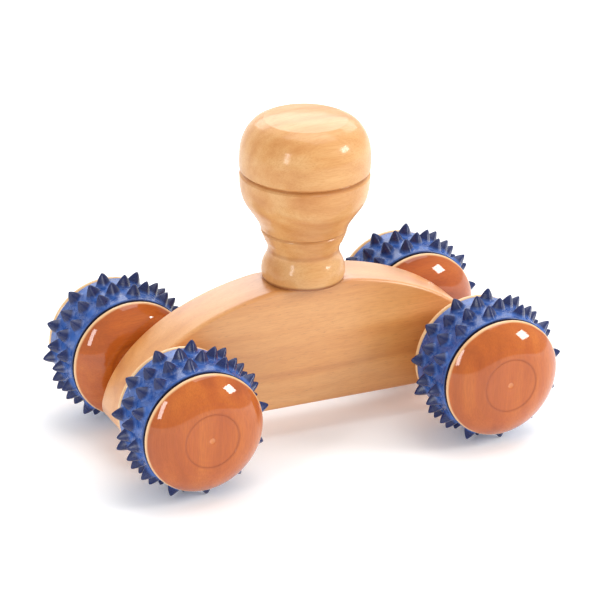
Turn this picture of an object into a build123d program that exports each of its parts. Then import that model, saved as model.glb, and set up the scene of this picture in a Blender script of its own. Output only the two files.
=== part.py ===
"""Wooden hand massager: an arched block on four rolling wheels with spiked rubber rings.

Millimetres. +X runs along the body to the front, +Y to its left, +Z up.
The origin is on the floor, under the middle of the body.
"""

import os
from math import atan2, cos, degrees, radians, sin, sqrt

from build123d import *

# Wheel places
wheelbase = 100.0
track = 57.0

# Spiked rubber ring
spikes_per_row = 12
spike_tip_radius = 23.2
spike_root_radius = 19.4
spike_root_width = 4.2
spike_tip_width = 1.0
spike_row_spacing = 4.0
ring_inner_radius = 17.0
ring_band_radius = 20.0
ring_half_width = 9.1
ring_edge_round = 0.4

# Turned wooden hub, measured from the middle plane of its ring
rim_radius = 19.1
rim_inside = 9.7
rim_outside = 10.7
hub_half_width = 16.9
hub_face_radius = 9.2
hub_dome_radius = 15.6
hub_dome_height = 14.3
seat_radius = 16.9
pocket_radius = 7.2
pocket_floor = 6.8

# Wooden plug closing the outer face of the hub
plug_radius = 8.5
plug_gap = 0.05
plug_thickness = 3.8
plug_recess = 0.4
plug_mark_radius = 0.8
plug_mark_depth = 0.5

# Axle and what is on it
axle_radius = 3.0
axle_fit = 0.02
running_gap = 0.08
end_play = 0.3
spacer_radius = 6.0
washer_radius = 6.0
washer_thickness = 0.8
cap_radius = 4.8
cap_length = 3.6
cap_wall = 0.8

# Arched body
body_half_length = 64.5
body_thickness = 17.0
body_underside = 10.0
body_rise = 41.0
body_toe_round = 5.0
body_edge_round = 1.2
knob_seat_half_length = 13.2

# Turned knob: heights are above its seat
foot_edge_radius = 12.7
foot_radius = 13.0
foot_middle = 2.4
foot_top_radius = 12.0
foot_top = 6.6
neck_radius = 11.1
neck_middle = 9.8
bead_low_radius = 12.2
bead_low = 13.0
bead_radius = 13.3
bead_top = 16.0
bead_groove_width = 0.8
bead_groove_depth = 0.4
cup_low_radius = 16.2
cup_low = 22.0
cup_high_radius = 18.8
cup_high = 26.0
cup_radius = 20.1
cup_rim = 34.4
groove_width = 1.6
groove_depth = 1.1
cap_shoulder_height = 40.0
cap_round_radius = 18.4
cap_round_height = 47.6
cap_flat_radius = 12.9
cap_flat_height = 52.1
knob_height = 52.8

# Glued dowel between the knob and the body
dowel_radius = 5.0
dowel_gap = 0.03
dowel_in_body = 18.0
dowel_in_knob = 22.0
dowel_end_room = 0.5
dowel_chamfer = 0.8

# Worked out from the above. Spikes of neighbouring rows are half a pitch apart and stand on
# the floor together, a quarter pitch either side of the axle, so each wheel rests level.
pitch = 360.0 / spikes_per_row
tip_corner = spike_tip_width / sqrt(2)
axle_height = spike_tip_radius * cos(radians(pitch / 4)) + tip_corner * sin(radians(pitch / 4))
knob_seat_height = body_underside + body_rise * sqrt(1 - (knob_seat_half_length / body_half_length) ** 2)
hub_inner_face = track / 2 - hub_half_width
hub_bore_radius = axle_radius + running_gap
axle_tip = track / 2 + pocket_floor + end_play + washer_thickness + cap_length - cap_wall

# Each wheel's place, its side of the body, and which way round its first row of spikes leads
wheels = {
    "front_right": (wheelbase / 2, -1, 1),
    "front_left": (wheelbase / 2, 1, 1),
    "rear_right": (-wheelbase / 2, -1, 1),
    "rear_left": (-wheelbase / 2, 1, -1),
}

os.makedirs("parts", exist_ok=True)


def save(part, label):
    """Name one finished piece and write it to its own file."""
    part.label = label
    export_step(part, f"parts/{label}.step")


def turning_plane(x, side):
    """Plane through a wheel's axle: local X is the radius, local Y points outward."""
    return Plane(origin=(x, side * track / 2, axle_height), x_dir=(1, 0, 0), z_dir=(0, 0, side))


def facing_plane(x, side, out):
    """Plane across a wheel's axle, looking outward, at a distance from the ring's middle."""
    return Plane(origin=(x, side * (track / 2 + out), axle_height), x_dir=(1, 0, 0), z_dir=(0, side, 0))


def axle_line(x):
    """The axis on which a pair of wheels turns."""
    return Axis((x, 0, axle_height), (0, 1, 0))


def spike_planes(x, side, lead):
    """One plane under each spike of the four staggered rows, facing straight out."""
    planes = []
    for row in range(4):
        across = (row - 1.5) * spike_row_spacing
        first_angle = -90.0 + (lead if row % 2 == 0 else -lead) * pitch / 4
        for step in range(spikes_per_row):
            angle = radians(first_angle + step * pitch)
            outward = (cos(angle), 0, sin(angle))
            foot = (
                x + spike_root_radius * cos(angle),
                side * track / 2 + across,
                axle_height + spike_root_radius * sin(angle),
            )
            planes.append(Plane(origin=foot, x_dir=(0, 1, 0), z_dir=outward))
    return planes


# Arched wooden block

with BuildPart() as body:
    with BuildSketch(Plane.XZ):
        with BuildLine():
            arch = EllipticalCenterArc(
                (0, body_underside), body_half_length, body_rise, start_angle=0, arc_size=180
            )
            Line(arch @ 1, arch @ 0)
        make_face()
        fillet(vertices().group_by(Axis.Y)[0], body_toe_round)
        seat_cut = body_rise + body_underside - knob_seat_height
        with Locations((0, knob_seat_height + seat_cut)):
            Rectangle(2 * knob_seat_half_length, 2 * seat_cut, mode=Mode.SUBTRACT)
    extrude(amount=body_thickness / 2, both=True)
    side_faces = faces().filter_by(Axis.Y)
    fillet(side_faces.edges(), body_edge_round)
    for x in (wheelbase / 2, -wheelbase / 2):
        with BuildSketch(Plane.XZ.offset(-body_thickness / 2)):
            with Locations((x, axle_height)):
                Circle(axle_radius + axle_fit)
        extrude(amount=body_thickness, mode=Mode.SUBTRACT)
    with BuildSketch(Plane.XY.offset(knob_seat_height)):
        Circle(dowel_radius + dowel_gap)
    extrude(amount=-(dowel_in_body + dowel_end_room), mode=Mode.SUBTRACT)

save(body.part, "body")


# Turned knob

with BuildPart() as knob:
    with BuildSketch(Plane(origin=(0, 0, knob_seat_height), x_dir=(1, 0, 0), z_dir=(0, -1, 0))):
        with BuildLine():
            foot_line = Line((0, 0), (foot_edge_radius, 0))
            foot = ThreePointArc(foot_line @ 1, (foot_radius, foot_middle), (foot_top_radius, foot_top))
            neck = ThreePointArc(foot @ 1, (neck_radius, neck_middle), (bead_low_radius, bead_low))
            bead = Line(neck @ 1, (bead_radius, bead_top))
            bead_groove = Polyline(
                bead @ 1,
                (bead_radius - bead_groove_depth, bead_top + bead_groove_width / 2),
                (bead_radius + bead_groove_depth / 2, bead_top + bead_groove_width),
            )
            cup = Spline(
                bead_groove @ 1,
                (cup_low_radius, cup_low),
                (cup_high_radius, cup_high),
                (cup_radius, cup_rim),
                tangents=((0.25, 1), (0, 1)),
            )
            groove = Polyline(
                cup @ 1,
                (cup_radius - groove_depth, cup_rim + groove_width / 2),
                (cup_radius, cup_rim + groove_width),
            )
            cap_side = Line(groove @ 1, (cup_radius, cap_shoulder_height))
            cap_round = ThreePointArc(
                cap_side @ 1, (cap_round_radius, cap_round_height), (cap_flat_radius, cap_flat_height)
            )
            cap_top = Spline(cap_round @ 1, (0, knob_height), tangents=(cap_round % 1, (-1, 0)))
            Line(cap_top @ 1, foot_line @ 0)
        make_face()
    revolve(axis=Axis.Z)
    with BuildSketch(Plane.XY.offset(knob_seat_height)):
        Circle(dowel_radius + dowel_gap)
    extrude(amount=dowel_in_knob + dowel_end_room, mode=Mode.SUBTRACT)

save(knob.part, "knob")


with BuildPart() as knob_dowel:
    with BuildSketch(Plane.XY.offset(knob_seat_height - dowel_in_body)):
        Circle(dowel_radius)
    extrude(amount=dowel_in_body + dowel_in_knob)
    chamfer(edges().filter_by(GeomType.CIRCLE), dowel_chamfer)

save(knob_dowel.part, "knob_dowel")


# Steel axles, pressed through the body

for label, x in (("axle_front", wheelbase / 2), ("axle_rear", -wheelbase / 2)):
    with BuildPart() as axle:
        with BuildSketch(Plane.XZ.offset(-axle_tip)):
            with Locations((x, axle_height)):
                Circle(axle_radius)
        extrude(amount=2 * axle_tip)
        chamfer(edges().filter_by(GeomType.CIRCLE), cap_wall / 2)
    save(axle.part, label)


def make_hub(x, side):
    """Turned wooden ball with a seat cut round it for the ring and a pocket for the plug."""
    with BuildPart() as hub:
        with BuildSketch(turning_plane(x, side)):
            with BuildLine():
                inner_face = Line((0, -hub_half_width), (hub_face_radius, -hub_half_width))
                inner_dome = ThreePointArc(
                    inner_face @ 1, (hub_dome_radius, -hub_dome_height), (rim_radius, -rim_outside)
                )
                inner_rim = Polyline(
                    inner_dome @ 1, (rim_radius, -rim_inside), (seat_radius, -rim_inside)
                )
                seat = Line(inner_rim @ 1, (seat_radius, rim_inside))
                outer_rim = Polyline(seat @ 1, (rim_radius, rim_inside), (rim_radius, rim_outside))
                outer_dome = ThreePointArc(
                    outer_rim @ 1, (hub_dome_radius, hub_dome_height), (hub_face_radius, hub_half_width)
                )
                outer_face = Line(outer_dome @ 1, (0, hub_half_width))
                Line(outer_face @ 1, inner_face @ 0)
            make_face()
        revolve(axis=axle_line(x))
        for radius, floor in (
            (hub_bore_radius, -hub_half_width),
            (pocket_radius, pocket_floor),
            (plug_radius + plug_gap, hub_half_width - plug_recess - plug_thickness),
        ):
            with BuildSketch(facing_plane(x, side, floor)):
                Circle(radius)
            extrude(amount=hub_half_width - floor, mode=Mode.SUBTRACT)
        mouth = edges().filter_by(GeomType.CIRCLE).filter_by(
            lambda edge: abs(edge.radius - plug_radius - plug_gap) < plug_gap
        )
        chamfer(mouth.sort_by(Axis.Y)[-1 if side > 0 else 0], plug_recess)
    return hub.part


def make_ring(x, side, lead):
    """Rubber band with four staggered rows of four-sided spikes, set cornerwise."""
    with BuildPart() as ring:
        with BuildSketch(turning_plane(x, side)):
            middle_radius = (ring_inner_radius + ring_band_radius) / 2
            with Locations((middle_radius, 0)):
                Rectangle(ring_band_radius - ring_inner_radius, 2 * ring_half_width)
            outer_corners = vertices().filter_by(lambda corner: abs(corner.X - x) > middle_radius)
            fillet(outer_corners, ring_edge_round)
        revolve(axis=axle_line(x))
        spike_height = spike_tip_radius - spike_root_radius
        taper = degrees(atan2((spike_root_width - spike_tip_width) / 2, spike_height))
        with BuildSketch(*spike_planes(x, side, lead)):
            Rectangle(spike_root_width, spike_root_width, rotation=45)
        extrude(amount=spike_height, taper=taper)
    return ring.part


def make_plug(x, side):
    """Wooden disc closing the hub's pocket, with a small mark at its centre."""
    with BuildPart() as plug:
        with BuildSketch(facing_plane(x, side, hub_half_width - plug_recess - plug_thickness)):
            Circle(plug_radius)
        extrude(amount=plug_thickness)
        with BuildSketch(facing_plane(x, side, hub_half_width - plug_recess)):
            Circle(plug_mark_radius)
        extrude(amount=-plug_mark_depth, taper=45, mode=Mode.SUBTRACT)
    return plug.part


def make_disc(x, side, start, thickness, outer_radius):
    """Round washer on the axle, from a distance outside the ring's middle plane."""
    with BuildPart() as disc:
        with BuildSketch(facing_plane(x, side, start)):
            Circle(outer_radius)
            Circle(axle_radius + axle_fit, mode=Mode.SUBTRACT)
        extrude(amount=thickness)
    return disc.part


def make_retaining_cap(x, side):
    """Push-on steel cap over the end of the axle."""
    start = pocket_floor + end_play + washer_thickness
    with BuildPart() as cap:
        with BuildSketch(facing_plane(x, side, start)):
            Circle(cap_radius)
        extrude(amount=cap_length)
        fillet(edges().filter_by(GeomType.CIRCLE).sort_by(Axis.Y)[-1 if side > 0 else 0], cap_wall)
        with BuildSketch(facing_plane(x, side, start)):
            Circle(axle_radius + axle_fit)
        extrude(amount=cap_length - cap_wall, mode=Mode.SUBTRACT)
    return cap.part


# Four wheels, each with its own ring, plug, spacer, washer and cap

spacer_start = body_thickness / 2 - track / 2
spacer_length = hub_inner_face - end_play - body_thickness / 2

for corner, (x, side, lead) in wheels.items():
    save(make_hub(x, side), f"hub_{corner}")
    save(make_ring(x, side, lead), f"spiked_ring_{corner}")
    save(make_plug(x, side), f"plug_{corner}")
    save(make_disc(x, side, spacer_start, spacer_length, spacer_radius), f"spacer_{corner}")
    save(
        make_disc(x, side, pocket_floor + end_play, washer_thickness, washer_radius), f"washer_{corner}"
    )
    save(make_retaining_cap(x, side), f"retaining_cap_{corner}")
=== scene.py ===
"""Looks of the wooden roller massager: turned, sanded and varnished wood, spiked rubber rings.

Metres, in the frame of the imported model: +X along the body, +Z up through the knob.
"""

import math

import bmesh
import bpy
from mathutils import Matrix, Vector


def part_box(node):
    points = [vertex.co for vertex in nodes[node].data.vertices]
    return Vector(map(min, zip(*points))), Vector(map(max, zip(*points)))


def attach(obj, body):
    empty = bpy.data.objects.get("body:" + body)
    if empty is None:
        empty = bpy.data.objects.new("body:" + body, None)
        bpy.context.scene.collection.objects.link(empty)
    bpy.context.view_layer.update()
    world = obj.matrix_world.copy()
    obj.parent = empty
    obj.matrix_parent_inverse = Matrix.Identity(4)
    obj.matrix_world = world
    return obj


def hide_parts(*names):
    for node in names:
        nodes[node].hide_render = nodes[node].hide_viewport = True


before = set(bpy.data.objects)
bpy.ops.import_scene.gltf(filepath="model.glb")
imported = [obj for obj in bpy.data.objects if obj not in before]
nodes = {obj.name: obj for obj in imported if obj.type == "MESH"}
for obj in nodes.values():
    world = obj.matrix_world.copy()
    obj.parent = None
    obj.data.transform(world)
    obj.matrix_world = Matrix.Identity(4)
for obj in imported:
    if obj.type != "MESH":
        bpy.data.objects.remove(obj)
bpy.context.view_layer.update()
MM = 0.001
TURN = 2 * math.pi


# Places and sizes taken from the frame

def middle(node):
    """Centre of a CAD node's box."""
    low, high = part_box(node)
    return (Vector(low) + Vector(high)) / 2


def size(node):
    """Size of a CAD node's box."""
    low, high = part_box(node)
    return Vector(high) - Vector(low)


corners = sorted(name[len("hub_"):] for name in nodes if name.startswith("hub_"))


# Mesh helpers

def new_object(name, mesh, material, body, place=(0, 0, 0)):
    """A mesh in place, with its material, riding on a body."""
    piece = bpy.data.objects.new(name, mesh)
    bpy.context.scene.collection.objects.link(piece)
    piece.location = place
    mesh.materials.append(material)
    bpy.context.view_layer.update()
    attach(piece, body)
    return piece


def finish_mesh(name, rings, closed_along, closed_across, sharp_degrees=40):
    """Quads between rings of points, smooth but for edges over an angle."""
    count, across = len(rings), len(rings[0])
    points = [point for ring in rings for point in ring]
    faces = []
    for i in range(count if closed_along else count - 1):
        for j in range(across if closed_across else across - 1):
            k, m = (i + 1) % count, (j + 1) % across
            faces.append((i * across + j, i * across + m, k * across + m, k * across + j))
    mesh = bpy.data.meshes.new(name)
    mesh.from_pydata(points, [], faces)
    tidy = bmesh.new()
    tidy.from_mesh(mesh)
    bmesh.ops.remove_doubles(tidy, verts=tidy.verts, dist=1e-7)
    bmesh.ops.recalc_face_normals(tidy, faces=tidy.faces)
    for face in tidy.faces:
        face.smooth = True
    tidy.to_mesh(mesh)
    tidy.free()
    mesh.set_sharp_from_angle(angle=math.radians(sharp_degrees))
    return mesh


def lathe(name, profile, segments, axis="Z", closed=False, side=1, sharp_degrees=40):
    """Turns (radius, height) points about an axis. On Y, height runs outward from side."""
    rings = []
    for step in range(segments):
        turn = TURN * step / segments
        c, s = math.cos(turn), math.sin(turn)
        if axis == "Z":
            rings.append([(r * c, r * s, h) for r, h in profile])
        else:
            rings.append([(r * c, side * h, r * s) for r, h in profile])
    return finish_mesh(name, rings, True, closed, sharp_degrees)


def arc(start, middle_point, end, steps):
    """Points on the circle through three points, from start to end, without the start."""
    (ax, ay), (bx, by), (cx, cy) = start, middle_point, end
    d = 2 * (ax * (by - cy) + bx * (cy - ay) + cx * (ay - by))
    a2, b2, c2 = ax * ax + ay * ay, bx * bx + by * by, cx * cx + cy * cy
    ox = (a2 * (by - cy) + b2 * (cy - ay) + c2 * (ay - by)) / d
    oy = (a2 * (cx - bx) + b2 * (ax - cx) + c2 * (bx - ax)) / d
    radius = math.hypot(ax - ox, ay - oy)
    t0, t1, t2 = (math.atan2(y - oy, x - ox) for x, y in (start, middle_point, end))
    sweep = (t2 - t0) % TURN
    if (t1 - t0) % TURN > sweep:
        sweep -= TURN
    return [
        (ox + radius * math.cos(t0 + sweep * i / steps), oy + radius * math.sin(t0 + sweep * i / steps))
        for i in range(1, steps + 1)
    ]


def curve_through(points, steps):
    """Catmull-Rom curve through points, without the first."""
    out = []
    for i in range(len(points) - 1):
        p0 = Vector(points[max(i - 1, 0)])
        p1, p2 = Vector(points[i]), Vector(points[i + 1])
        p3 = Vector(points[min(i + 2, len(points) - 1)])
        for k in range(1, steps + 1):
            t = k / steps
            out.append(tuple(0.5 * (
                2 * p1 + (p2 - p0) * t
                + (2 * p0 - 5 * p1 + 4 * p2 - p3) * t ** 2
                + (3 * p1 - p0 - 3 * p2 + p3) * t ** 3
            )))
    return out


# Material helpers

class Nodes:
    """Short calls for building one material's node tree."""

    def __init__(self, name):
        self.material = bpy.data.materials.new(name)
        self.material.use_nodes = True
        self.tree = self.material.node_tree
        self.tree.nodes.clear()
        self.output = self.add("ShaderNodeOutputMaterial")
        self.shader = self.add("ShaderNodeBsdfPrincipled")
        self.link(self.shader.outputs["BSDF"], self.output.inputs["Surface"])
        self.place = self.add("ShaderNodeTexCoord").outputs["Object"]

    def add(self, kind, **values):
        node = self.tree.nodes.new(kind)
        for key, value in values.items():
            setattr(node, key, value)
        return node

    def link(self, source, target):
        self.tree.links.new(source, target)

    def set(self, node, **values):
        for key, value in values.items():
            socket = node.inputs[key.replace("_", " ")]
            if isinstance(value, bpy.types.NodeSocket):
                self.link(value, socket)
            else:
                socket.default_value = value

    def stretch(self, scale, offset=(0, 0, 0), source=None):
        """Coordinates scaled and shifted, in units of one noise cell."""
        node = self.add("ShaderNodeMapping")
        self.link(source or self.place, node.inputs["Vector"])
        node.inputs["Scale"].default_value = scale
        node.inputs["Location"].default_value = offset
        return node.outputs["Vector"]

    def noise(self, vector, detail=4, roughness=0.55):
        node = self.add("ShaderNodeTexNoise")
        self.link(vector, node.inputs["Vector"])
        self.set(node, Scale=1.0, Detail=detail, Roughness=roughness)
        return node.outputs["Fac"]

    def ramp(self, value, *stops):
        """Colours or greys along a value, each stop a (position, colour) pair."""
        node = self.add("ShaderNodeValToRGB")
        elements = node.color_ramp.elements
        while len(elements) < len(stops):
            elements.new(0.5)
        for element, (position, color) in zip(elements, stops):
            element.position = position
            element.color = color if isinstance(color, tuple) else (color, color, color, 1)
        self.link(value, node.inputs["Fac"])
        return node.outputs["Color"]

    def mix(self, factor, a, b):
        """Colour a, going to colour b as the factor goes from 0 to 1."""
        node = self.add("ShaderNodeMix", data_type="RGBA")
        for socket, value in ((node.inputs[0], factor), (node.inputs[6], a), (node.inputs[7], b)):
            if isinstance(value, bpy.types.NodeSocket):
                self.link(value, socket)
            else:
                socket.default_value = value
        return node.outputs[2]

    def math(self, operation, *values):
        node = self.add("ShaderNodeMath", operation=operation)
        for socket, value in zip(node.inputs, values):
            if isinstance(value, bpy.types.NodeSocket):
                self.link(value, socket)
            else:
                socket.default_value = value
        return node.outputs[0]

    def rise(self, value, low, high):
        """0 below low and 1 above high, with a smooth step between."""
        node = self.add("ShaderNodeMapRange", interpolation_type="SMOOTHSTEP")
        self.set(node, Value=value, From_Min=low, From_Max=high)
        return node.outputs[0]

    def within(self, value, low, high, soft):
        """1 between low and high, falling to 0 over a soft edge on both sides."""
        fall = self.math("SUBTRACT", 1.0, self.rise(value, high, high + soft))
        return self.math("MULTIPLY", self.rise(value, low - soft, low), fall)

    def axes(self):
        node = self.add("ShaderNodeSeparateXYZ")
        self.link(self.place, node.inputs[0])
        return node.outputs[0], node.outputs[1], node.outputs[2]

    def combine(self, value):
        """A vector whose X is a value, for noise along one line."""
        node = self.add("ShaderNodeCombineXYZ")
        self.link(value, node.inputs[0])
        return node.outputs[0]

    def bump(self, height, distance, strength=1.0):
        node = self.add("ShaderNodeBump")
        self.set(node, Strength=strength, Distance=distance, Height=height)
        return node.outputs["Normal"]

    def radius(self):
        """Distance from the object's own Y axis, which is a wheel's axle."""
        x, _, z = self.axes()
        squares = self.math("ADD", self.math("MULTIPLY", x, x), self.math("MULTIPLY", z, z))
        return self.math("SQRT", squares)

    def wobble(self, cells_per_metre, size):
        """Small wandering length, to keep a painted edge from being too even."""
        cloud = self.noise(self.stretch((cells_per_metre,) * 3))
        return self.math("MULTIPLY", self.math("SUBTRACT", cloud, 0.5), size)


def srgb(red, green, blue):
    """A display colour, 0 to 255, as linear RGBA."""
    return tuple(
        c / 12.92 if c <= 0.04045 else ((c + 0.055) / 1.055) ** 2.4
        for c in (red / 255, green / 255, blue / 255)
    ) + (1.0,)


def grain_scales(axis, along, across):
    """Noise cells per metre for fibres that run along one axis."""
    return tuple(1 / (along if k == axis else across) for k in "XYZ")


# Length along the fibres and width across them, of each kind of mark in the wood
WARP = (60 * MM, 22 * MM)
BANDS = (160 * MM, 7 * MM)
FIBRES = (5 * MM, 0.34 * MM)
PORES = (2.6 * MM, 0.2 * MM)
BLOTCH = (30 * MM, 14 * MM)
WARP_DEPTH = 5 * MM


def wood(name, pale, mid, dark, grain_axis, seed, gloss, fleck=0.35, mark=None):
    """Turned or sanded wood: broad growth bands, fine fibres, short flecks and pores.

    gloss is one of the finishes below, and fleck says how dark the pores are.
    mark(nodes, color) may change the colour further, such as by dark lines.
    """
    n = Nodes(name)
    shift = (seed * 0.37, seed * 0.71, seed * 0.53)
    wavy = n.add("ShaderNodeVectorMath", operation="ADD")
    warp = n.add("ShaderNodeTexNoise")
    n.link(n.stretch(grain_scales(grain_axis, *WARP), shift), warp.inputs["Vector"])
    n.set(warp, Scale=1.0, Detail=2.0)
    bent = n.add("ShaderNodeVectorMath", operation="SCALE")
    n.link(warp.outputs["Color"], bent.inputs[0])
    bent.inputs["Scale"].default_value = WARP_DEPTH
    n.link(n.place, wavy.inputs[0])
    n.link(bent.outputs[0], wavy.inputs[1])
    grain = wavy.outputs[0]

    bands = n.noise(n.stretch(grain_scales(grain_axis, *BANDS), shift, grain), 3, 0.5)
    fibres = n.noise(n.stretch(grain_scales(grain_axis, *FIBRES), shift, grain), 4, 0.6)
    pores = n.noise(n.stretch(grain_scales(grain_axis, *PORES), shift, grain), 2, 0.5)
    blotch = n.noise(n.stretch(grain_scales(grain_axis, *BLOTCH), shift), 2, 0.5)

    color = n.ramp(bands, (0.22, dark), (0.50, mid), (0.72, pale))
    color = n.mix(n.ramp(blotch, (0.35, 0.0), (0.7, 0.40)), color, pale)
    color = n.mix(n.ramp(fibres, (0.36, 0.26), (0.58, 0.0)), color, dark)
    pore_color = tuple(c * 0.45 for c in dark[:3]) + (1,)
    color = n.mix(n.ramp(pores, (0.26, fleck), (0.38, 0.0)), color, pore_color)
    if mark:
        color = mark(n, color)
    n.link(color, n.shader.inputs["Base Color"])

    rough = n.ramp(fibres, (0.3, gloss["rough"] + 0.10), (0.7, gloss["rough"]))
    n.link(rough, n.shader.inputs["Roughness"])
    n.set(
        n.shader, Coat_Weight=gloss["coat"], Coat_Roughness=gloss["coat_rough"],
        Coat_IOR=1.55, Specular_IOR_Level=gloss["specular"],
    )
    height = n.math("ADD", n.math("MULTIPLY", fibres, 0.6), n.math("MULTIPLY", pores, 0.5))
    n.link(n.bump(height, gloss["grain_depth"]), n.shader.inputs["Normal"])
    return n.material


# Finishes

SANDED = {
    "rough": 0.42, "coat": 0.90, "coat_rough": 0.30, "specular": 0.5, "grain_depth": 0.05 * MM,
}
WAXED = {
    "rough": 0.44, "coat": 0.45, "coat_rough": 0.13, "specular": 0.25, "grain_depth": 0.04 * MM,
}
VARNISHED = {
    "rough": 0.50, "coat": 0.90, "coat_rough": 0.05, "specular": 0.10, "grain_depth": 0.03 * MM,
}

beech = dict(pale=srgb(228, 166, 100), mid=srgb(216, 148, 78), dark=srgb(186, 110, 48))
knob_beech = dict(pale=srgb(226, 178, 120), mid=srgb(214, 156, 94), dark=srgb(188, 116, 52))
stained = dict(pale=srgb(200, 108, 34), mid=srgb(182, 88, 24), dark=srgb(142, 60, 14))


def steel():
    """Bright drawn steel with fine turning marks."""
    n = Nodes("steel")
    fine = n.noise(n.stretch((900, 9000, 900)), 3, 0.6)
    color = n.ramp(fine, (0.3, srgb(176, 178, 182)), (0.7, srgb(214, 215, 218)))
    n.link(color, n.shader.inputs["Base Color"])
    n.link(n.ramp(fine, (0.3, 0.20), (0.7, 0.34)), n.shader.inputs["Roughness"])
    n.set(n.shader, Metallic=1.0)
    n.link(n.bump(fine, 0.01 * MM), n.shader.inputs["Normal"])
    return n.material


def nylon():
    """Moulded off-white nylon."""
    n = Nodes("nylon")
    cloud = n.noise(n.stretch((400, 400, 400)), 3, 0.6)
    color = n.ramp(cloud, (0.3, srgb(222, 216, 202)), (0.7, srgb(238, 234, 224)))
    n.link(color, n.shader.inputs["Base Color"])
    n.link(n.ramp(cloud, (0.3, 0.42), (0.7, 0.55)), n.shader.inputs["Roughness"])
    n.set(n.shader, Subsurface_Weight=0.15, Subsurface_Scale=1 * MM)
    n.link(n.bump(cloud, 0.03 * MM), n.shader.inputs["Normal"])
    return n.material


# Arched body: a sanded block with softened edges

BODY_HALF_LENGTH = 64.5 * MM
BODY_EDGE = 1.2 * MM
BODY_SHARP_DEGREES = 35
SEAT_HALF = 13.2 * MM
TOE_UP = 5.3 * MM
TOE_BACK = 5.1 * MM
ARCH_STEPS = 200
TOE_STEPS = 12
UNDER_STEPS = 40


def body_outline():
    """The arch from the front toe over the top to the rear toe, then the flat underside.

    The arch is half an ellipse, cut flat on top where the knob sits.
    """
    low, high = (Vector(v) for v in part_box("body"))
    bottom, seat = low.z, high.z
    rise = (seat - bottom) / math.sqrt(1 - (SEAT_HALF / BODY_HALF_LENGTH) ** 2)

    def on_arch(angle):
        return (BODY_HALF_LENGTH * math.cos(angle), bottom + min(rise * math.sin(angle), seat - bottom))

    toe_angle = math.asin(TOE_UP / rise)
    sweep = math.pi - 2 * toe_angle
    arch_points = [on_arch(toe_angle + sweep * i / ARCH_STEPS) for i in range(ARCH_STEPS + 1)]
    corner = Vector((BODY_HALF_LENGTH, bottom))
    toe_foot = Vector((BODY_HALF_LENGTH - TOE_BACK, bottom))
    toe_top = Vector(on_arch(toe_angle))
    toe = []
    for i in range(1, TOE_STEPS):
        t = i / TOE_STEPS
        toe.append(tuple(toe_foot * (1 - t) ** 2 + corner * 2 * t * (1 - t) + toe_top * t ** 2))
    rear_toe = [(-x, z) for x, z in reversed(toe)]
    under = [(toe_foot.x * (2 * i / UNDER_STEPS - 1), bottom) for i in range(UNDER_STEPS + 1)]
    return arch_points + rear_toe + under + toe


def make_body():
    """The block, with its long edges rounded over."""
    outline = [Vector(p) for p in body_outline()]
    count = len(outline)
    inward = []
    for i in range(count):
        along = outline[(i + 1) % count] - outline[i - 1]
        inward.append(Vector((-along.y, along.x)).normalized())
    half = size("body").y / 2
    edge_steps = 6
    offsets = []
    for k in range(edge_steps + 1):
        turn = math.pi / 2 * k / edge_steps
        offsets.append((BODY_EDGE * (1 - math.sin(turn)), half - BODY_EDGE * (1 - math.cos(turn))))
    across = [(inset, -y) for inset, y in offsets] + [(inset, y) for inset, y in reversed(offsets)]
    rings = []
    for i in range(count):
        ring = []
        for inset, y in across:
            p = outline[i] + inward[i] * inset
            ring.append((p.x, y, p.y))
        rings.append(ring)
    mesh = finish_mesh("body_wood", rings, True, False, BODY_SHARP_DEGREES)

    # the two flat sides
    fill = bmesh.new()
    fill.from_mesh(mesh)
    loops = [e for e in fill.edges if e.is_boundary]
    bmesh.ops.holes_fill(fill, edges=loops, sides=0)
    bmesh.ops.recalc_face_normals(fill, faces=fill.faces)
    for face in fill.faces:
        face.smooth = True
    fill.to_mesh(mesh)
    fill.free()
    mesh.set_sharp_from_angle(angle=math.radians(BODY_SHARP_DEGREES))
    return mesh


body_material = wood("body_beech", **beech, grain_axis="X", seed=3, gloss=SANDED)
body_piece = new_object("body_wood", make_body(), body_material, "frame")
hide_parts("body")


# Turned knob

def knob_profile(top):
    """Outline from the middle of the knob's foot to the middle of its cap, above the seat.

    top is the knob's height in mm.
    """
    foot = [(0.0, 0.0), (12.0, 0.0)]
    foot += arc((12.0, 0.0), (12.62, 0.24), (12.75, 0.8), 4)
    foot += arc((12.75, 0.8), (12.98, 3.0), (12.0, 6.6), 14)
    neck = arc((12.0, 6.6), (11.1, 9.8), (12.2, 13.0), 16)
    bead = curve_through([(12.2, 13.0), (12.75, 14.4), (13.3, 15.8)], 4)
    crease = [(13.25, 16.05), (12.95, 16.4), (13.25, 16.7)]
    cup = curve_through(
        [(13.45, 16.9), (14.3, 19.1), (16.15, 22.0), (18.75, 26.0), (19.85, 30.0), (20.12, 33.9)], 12
    )
    groove = [(20.05, 34.25), (19.1, 35.1), (19.0, 35.2), (19.1, 35.3), (20.05, 36.15)]
    cap = curve_through(
        [(20.15, 36.5), (20.2, 40.0), (19.75, 44.0), (18.3, 47.7), (15.9, 50.5), (12.9, 52.0)], 12
    )
    crown = curve_through([(12.9, 52.0), (8.0, top - 0.28), (3.5, top - 0.06), (0.0, top)], 8)
    points = foot + neck + bead + crease + [(13.45, 16.9)] + cup + groove + [(20.15, 36.5)] + cap + crown
    return [(max(r, 0.0) * MM, h * MM) for r, h in points]


# Brown lines round the knob, most of them painted shade: from, to and softness in mm above its seat,
# strength, colour
KNOB_LINES = (
    (34.95, 35.4, 0.45, 0.60, srgb(168, 104, 52)),  # dark line in the groove under the cap
    (16.1, 16.6, 0.6, 0.35, srgb(170, 112, 62)),  # painted shade in the crease above the neck
    (9.6, 10.1, 0.7, 0.40, srgb(168, 104, 52)),  # painted shade in the hollow of the neck
    (-1.0, 0.6, 0.9, 0.80, srgb(136, 72, 32)),  # painted shadow at the foot, where it meets the body
)

knob_low, knob_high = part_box("knob")


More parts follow.
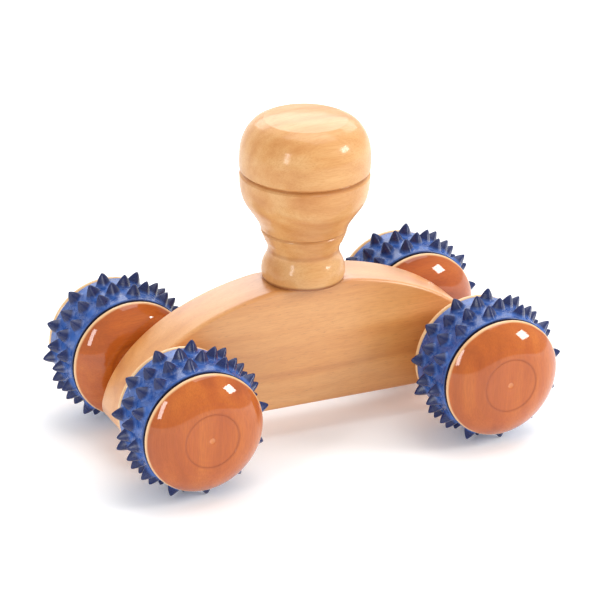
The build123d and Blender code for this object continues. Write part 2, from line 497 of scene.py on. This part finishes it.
def knob_lines(n, color):
    """Paints the brown lines over the knob's wood, most of them painted shade."""
    _, _, z = n.axes()
    height = n.math("SUBTRACT", n.math("ADD", z, n.wobble(90, 0.5 * MM)), knob_low[2])
    for low, high, soft, strength, brown in KNOB_LINES:
        line = n.within(height, low * MM, high * MM, soft * MM)
        color = n.mix(n.math("MULTIPLY", line, strength), color, brown)
    return color


knob_material = wood(
    "knob_beech", **knob_beech, grain_axis="X", seed=11, gloss=WAXED, fleck=0.22, mark=knob_lines
)
knob_height = (knob_high[2] - knob_low[2]) / MM
knob_mesh = lathe("knob_turned", knob_profile(knob_height), 192, sharp_degrees=30)
knob_mesh.transform(Matrix.Translation((0, 0, knob_low[2])))
knob_piece = new_object("knob_turned", knob_mesh, knob_material, "frame")
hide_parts("knob")


# Wheels

# Ring, in mm
PITCHES = 12
TIP_RADIUS = 23.2
BAND_RADIUS = 19.4
RING_INSIDE = 17.0
RING_HALF = 9.1
ROW_SPACING = 4.0
ROWS = 4
BAND_EDGE = 0.5
EDGE_STEPS = 5
COLUMNS_PER_PITCH = 44
ROWS_PER_SPACING = 16

# Spike: the radius where its width is measured, and its half width round the ring and across
# it, in mm. Then how its outline bulges, how its flanks curve, its height before blunting, how
# many half widths out it is still worked out, and how far its tip and its foot are softened.
WIDTH_RADIUS = BAND_RADIUS + 0.5
SPIKE_AROUND = 2.7
SPIKE_ACROSS = 2.75
SPIKE_OUTLINE = 1.3
SPIKE_FLANK = 0.6
SPIKE_PEAK = 1.12
SPIKE_REACH = 1.2
TIP_SOFT = 0.014
FOOT_SOFT = 0.003

# Ball and plug, in mm: (radius, distance from the wheel's middle)
BALL_FACE = (9.2, 16.9)
BALL_DOME = (15.6, 14.3)
BALL_SHOULDER = (19.0, 11.0)
RIM_CREST = (19.1, 10.4)
RIM_LIP = (18.85, 9.95)
GROOVE_MOUTH = (18.55, 9.72)
GROOVE_FLOOR = (16.95, 9.7)
MOUTH_RADIUS = 8.57
POCKET_RADIUS = 7.2
POCKET_FLOOR = 6.8
BORE_RADIUS = 3.08
PLUG_RADIUS = 8.56
PLUG_BACK = 12.75

LATHE_LINES_PER_METRE = 900.0


def spike_rise(around, across):
    """Height of one spike as a part of its full height, at a distance from its centre."""
    u, v = abs(around) / SPIKE_AROUND, abs(across) / SPIKE_ACROSS
    if max(u, v) > SPIKE_REACH:
        return 0.0
    out = (u ** SPIKE_OUTLINE + v ** SPIKE_OUTLINE) ** (1 / SPIKE_OUTLINE)
    cone = SPIKE_PEAK - SPIKE_PEAK * (out * out + TIP_SOFT) ** SPIKE_FLANK
    return 0.5 * (cone + math.sqrt(cone * cone + FOOT_SOFT))


def make_ring(lead):
    """Rubber band with four staggered rows of spikes, as one closed skin.

    lead is 1 or -1, and says which rows have a tip a quarter pitch before the lowest point.
    """
    pitch = TURN / PITCHES
    peak = spike_rise(0, 0)
    step = ROW_SPACING / ROWS_PER_SPACING
    flat_rows = int((RING_HALF - BAND_EDGE) / step)
    flat = flat_rows * step
    edge = []
    for k in range(1, EDGE_STEPS + 1):
        turn = math.pi / 2 * k / EDGE_STEPS
        y = flat + (RING_HALF - flat) * math.sin(turn)
        edge.append((BAND_RADIUS - BAND_EDGE * (1 - math.cos(turn)), y))
    rings = []
    for column in range(PITCHES * COLUMNS_PER_PITCH):
        turn = pitch * column / COLUMNS_PER_PITCH
        c, s = math.cos(turn), math.sin(turn)
        section = []
        for row in range(-flat_rows, flat_rows + 1):
            y = row * step
            rise = 0.0
            for index in range(ROWS):
                first = -math.pi / 2 + (lead if index % 2 == 0 else -lead) * pitch / 4
                around = (turn - first + pitch / 2) % pitch - pitch / 2
                row_middle = (index - (ROWS - 1) / 2) * ROW_SPACING
                rise = max(rise, spike_rise(around * WIDTH_RADIUS, y - row_middle))
            section.append((BAND_RADIUS + (TIP_RADIUS - BAND_RADIUS) * rise / peak, y))
        section += edge + [(RING_INSIDE, RING_HALF), (RING_INSIDE, -RING_HALF)]
        section += [(r, -y) for r, y in reversed(edge)]
        rings.append([(r * c * MM, y * MM, r * s * MM) for r, y in section])
    return finish_mesh("spiked_ring", rings, True, True, 60)


def hub_profile():
    """Half section of the turned ball, from the bore's inner end round to the pocket."""
    outer = [GROOVE_FLOOR, GROOVE_MOUTH, RIM_LIP]
    outer += arc(RIM_LIP, RIM_CREST, BALL_SHOULDER, 5)
    outer += arc(BALL_SHOULDER, BALL_DOME, BALL_FACE, 28)
    inner = [(r, -h) for r, h in reversed(outer)]
    face = BALL_FACE[1]
    mouth = [(8.75, face - 0.01), (8.62, face - 0.03), (MOUTH_RADIUS, face - 0.08)]
    pocket = [
        (MOUTH_RADIUS, PLUG_BACK - 0.05), (POCKET_RADIUS, PLUG_BACK - 0.05),
        (POCKET_RADIUS, POCKET_FLOOR), (BORE_RADIUS, POCKET_FLOOR),
    ]
    return [(r * MM, h * MM) for r, h in [(BORE_RADIUS, -face)] + inner + outer + mouth + pocket]


def plug_profile():
    """Half section of the plug from the middle of its back to the bottom of its centre mark."""
    points = [(0.0, PLUG_BACK), (PLUG_RADIUS, PLUG_BACK), (PLUG_RADIUS, 16.8), (8.5, 16.84), (8.3, 16.86)]
    points += curve_through([(8.3, 16.86), (6.0, 16.87), (3.0, 16.86), (1.1, 16.83)], 4)
    points += [(0.95, 16.78), (0.8, 16.66), (0.45, 16.5), (0.0, 16.45)]
    return [(r * MM, h * MM) for r, h in points]


def rubber():
    """Moulded blue rubber: a lighter band, spikes painted darker navy as the shade on their flanks, side
    walls painted near black as the shade in the gap by the rim, and pale flecks that are partly dust and
    partly painted glints.
    """
    n = Nodes("blue_rubber")
    radius = n.radius()
    soft = n.noise(n.stretch((260, 260, 260)), 3, 0.6)
    fine = n.noise(n.stretch((2600, 2600, 2600)), 3, 0.6)
    band = n.mix(n.ramp(soft, (0.3, 0.0), (0.7, 1.0)), srgb(24, 60, 128), srgb(54, 100, 178))
    # below the band the side walls are painted near black: painted shade in the gap by the rim
    on_band = n.rise(radius, (BAND_RADIUS - 0.5) * MM, (BAND_RADIUS - 0.1) * MM)
    color = n.mix(on_band, srgb(10, 20, 56), band)
    # the spikes are painted darker navy: painted shade on their flanks
    spike_shade_mask = n.rise(radius, (BAND_RADIUS + 0.25) * MM, (BAND_RADIUS + 1.2) * MM)
    color = n.mix(spike_shade_mask, color, srgb(9, 30, 86))
    # pale flecks: partly dust, partly painted glints
    dust_and_glint = n.math("MULTIPLY", n.ramp(fine, (0.55, 0.0), (0.75, 1.0)), 0.08)
    n.link(n.mix(dust_and_glint, color, srgb(120, 150, 205)), n.shader.inputs["Base Color"])
    n.link(n.ramp(soft, (0.3, 0.22), (0.7, 0.34)), n.shader.inputs["Roughness"])
    n.set(n.shader, Specular_IOR_Level=0.5)
    n.link(n.bump(fine, 0.04 * MM, 0.8), n.shader.inputs["Normal"])
    return n.material


def wheel_marks(n, color):
    """Pale rims beside the ring, partly bare wood and partly a painted highlight, lathe lines, and a
    faint line round the plug.
    """
    _, y, _ = n.axes()
    radius = n.radius()
    height = n.math("ADD", n.math("ABSOLUTE", y), n.wobble(120, 0.5 * MM))
    # pale band on the rims: partly bare wood, partly a painted highlight where the rim faces the light
    pale_rim_and_highlight = n.math(
        "MULTIPLY",
        n.within(height, 9.2 * MM, 10.9 * MM, 0.7 * MM),
        n.rise(radius, (BALL_SHOULDER[0] - 1.3) * MM, (BALL_SHOULDER[0] - 0.8) * MM),
    )
    color = n.mix(n.math("MULTIPLY", pale_rim_and_highlight, 0.85), color, srgb(244, 204, 152))
    rings = n.noise(n.combine(n.math("MULTIPLY", radius, LATHE_LINES_PER_METRE)), 2, 0.5)
    on_face = n.within(radius, -1 * MM, 12 * MM, 4 * MM)
    lathe_lines = n.math("MULTIPLY", n.ramp(rings, (0.42, 0.22), (0.58, 0.0)), on_face)
    color = n.mix(lathe_lines, color, srgb(176, 84, 40))
    line = n.within(radius, 8.5 * MM, 8.7 * MM, 0.6 * MM)
    color = n.mix(n.math("MULTIPLY", line, 0.35), color, srgb(140, 62, 22))
    dot = n.within(radius, -1 * MM, 0.7 * MM, 0.4 * MM)
    return n.mix(n.math("MULTIPLY", dot, 0.4), color, srgb(246, 170, 112))


rubber_material = rubber()
steel_material = steel()
nylon_material = nylon()

for index, corner in enumerate(corners):
    centre = middle(f"spiked_ring_{corner}")
    side = 1 if centre.y > 0 else -1
    body = f"wheel_{corner}"
    centre.z = middle(f"hub_{corner}").z
    varnished = wood(
        f"wheel_wood_{corner}", **stained, grain_axis="Z" if index % 2 else "X", seed=20 + 7 * index,
        gloss=VARNISHED, fleck=0.14, mark=wheel_marks,
    )
    lead = -1 if corner == "rear_left" else 1
    ring = new_object(f"ring_{corner}", make_ring(lead), rubber_material, body, centre)
    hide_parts(f"spiked_ring_{corner}")
    hub_mesh = lathe(f"hub_{corner}", hub_profile(), 160, "Y", True, side, 35)
    hub = new_object(f"ball_{corner}", hub_mesh, varnished, body, centre)
    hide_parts(f"hub_{corner}")
    plug_mesh = lathe(f"plug_{corner}", plug_profile(), 96, "Y", False, side, 35)
    plug = new_object(f"disc_{corner}", plug_mesh, varnished, body, centre)
    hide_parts(f"plug_{corner}")


def repaint(node, material):
    """Gives a CAD node a better material."""
    nodes[node].data.materials.clear()
    nodes[node].data.materials.append(material)


for name in nodes:
    if name.startswith(("axle_", "washer_", "retaining_cap_")):
        repaint(name, steel_material)
    elif name.startswith("spacer_"):
        repaint(name, nylon_material)
    elif name == "knob_dowel":
        repaint(name, knob_material)


# Floor, light and camera

FLOOR_FRONT = -1.6
FLOOR_BACK = 1.1
SWEEP_RADIUS = 0.6
SWEEP_STEPS = 12
WALL_TOP = 2.4
FLOOR_HALF_WIDTH = 4.0


def make_floor():
    """A plain pale floor that curves up behind the object, faintly lit from within."""
    profile = [(FLOOR_FRONT, 0.0), (FLOOR_BACK, 0.0)]
    for i in range(1, SWEEP_STEPS + 1):
        turn = math.pi / 2 * i / SWEEP_STEPS
        profile.append((FLOOR_BACK + SWEEP_RADIUS * math.sin(turn), SWEEP_RADIUS * (1 - math.cos(turn))))
    profile.append((FLOOR_BACK + SWEEP_RADIUS, WALL_TOP))
    rings = [[(x, y, z) for y, z in profile] for x in (-FLOOR_HALF_WIDTH, FLOOR_HALF_WIDTH)]
    mesh = finish_mesh("floor", rings, False, False, 80)
    piece = bpy.data.objects.new("floor", mesh)
    bpy.context.scene.collection.objects.link(piece)
    n = Nodes("floor_paint")
    cloud = n.noise(n.stretch((3, 3, 3)), 2, 0.5)
    color = n.ramp(cloud, (0.3, srgb(249, 249, 249)), (0.7, srgb(252, 252, 252)))
    n.link(color, n.shader.inputs["Base Color"])
    n.set(n.shader, Roughness=0.85, Specular_IOR_Level=0.15)
    n.set(n.shader, Emission_Color=(1, 1, 1, 1), Emission_Strength=0.12)
    mesh.materials.append(n.material)


def softbox(name, place, aim, width, height, watts):
    """A rectangular area light aimed at a point."""
    light = bpy.data.lights.new(name, "AREA")
    light.shape = "RECTANGLE"
    light.size = width
    light.size_y = height
    light.energy = watts
    lamp = bpy.data.objects.new(name, light)
    bpy.context.scene.collection.objects.link(lamp)
    lamp.location = place
    lamp.rotation_mode = "QUATERNION"
    lamp.rotation_quaternion = (Vector(aim) - Vector(place)).to_track_quat("-Z", "Y")


make_floor()
heart = (0, 0, 0.04)
softbox("overhead", (0.25, 0.10, 1.3), heart, 1.2, 0.9, 8.0)
softbox("back", (0.55, 1.05, 0.80), heart, 1.7, 0.6, 8.5)
softbox("key", (0.80, -0.52, 0.54), heart, 0.29, 0.25, 4.6)
softbox("strip", (-0.80, -0.50, 0.44), heart, 0.14, 0.45, 2.2)

world = bpy.data.worlds.new("studio")
bpy.context.scene.world = world
world.use_nodes = True
world.node_tree.nodes["Background"].inputs["Color"].default_value = (1, 1, 1, 1)
world.node_tree.nodes["Background"].inputs["Strength"].default_value = 0.64


CAMERA_AZIMUTH, CAMERA_ELEVATION, CAMERA_ROLL = (math.radians(v) for v in (-25.38, 25.84, 1.09))
CAMERA_DISTANCE = 1.096
CAMERA_LENS = 208.4
AIM_UP = 0.0403
AIM_LEFT = 0.00075
CAMERA_DROP = 0.0021


def make_camera():
    """Long lens off the object's right side, towards its rear and above, turned slightly."""
    level = math.cos(CAMERA_ELEVATION)
    back = Vector((
        math.sin(CAMERA_AZIMUTH) * level, -math.cos(CAMERA_AZIMUTH) * level, math.sin(CAMERA_ELEVATION)
    ))
    right = Vector((math.cos(CAMERA_AZIMUTH), math.sin(CAMERA_AZIMUTH), 0))
    up = back.cross(right)
    place = back * CAMERA_DISTANCE
    target = up * AIM_UP - right * AIM_LEFT
    back = (place - target).normalized()
    place.z -= CAMERA_DROP
    flat_right = Vector((0, 0, 1)).cross(back).normalized()
    flat_up = back.cross(flat_right)
    side = flat_right * math.cos(CAMERA_ROLL) + flat_up * math.sin(CAMERA_ROLL)
    top = back.cross(side)
    camera = bpy.data.cameras.new("camera")
    camera.sensor_width = 36
    camera.lens = CAMERA_LENS
    camera.clip_start = 0.01
    camera.clip_end = 20
    holder = bpy.data.objects.new("camera", camera)
    bpy.context.scene.collection.objects.link(holder)
    turn = Matrix((side, top, back)).transposed().to_4x4()
    holder.matrix_world = Matrix.Translation(place) @ turn
    bpy.context.scene.camera = holder


make_camera()
bpy.context.scene.view_settings.view_transform = "Standard"
bpy.context.scene.view_settings.look = "None"
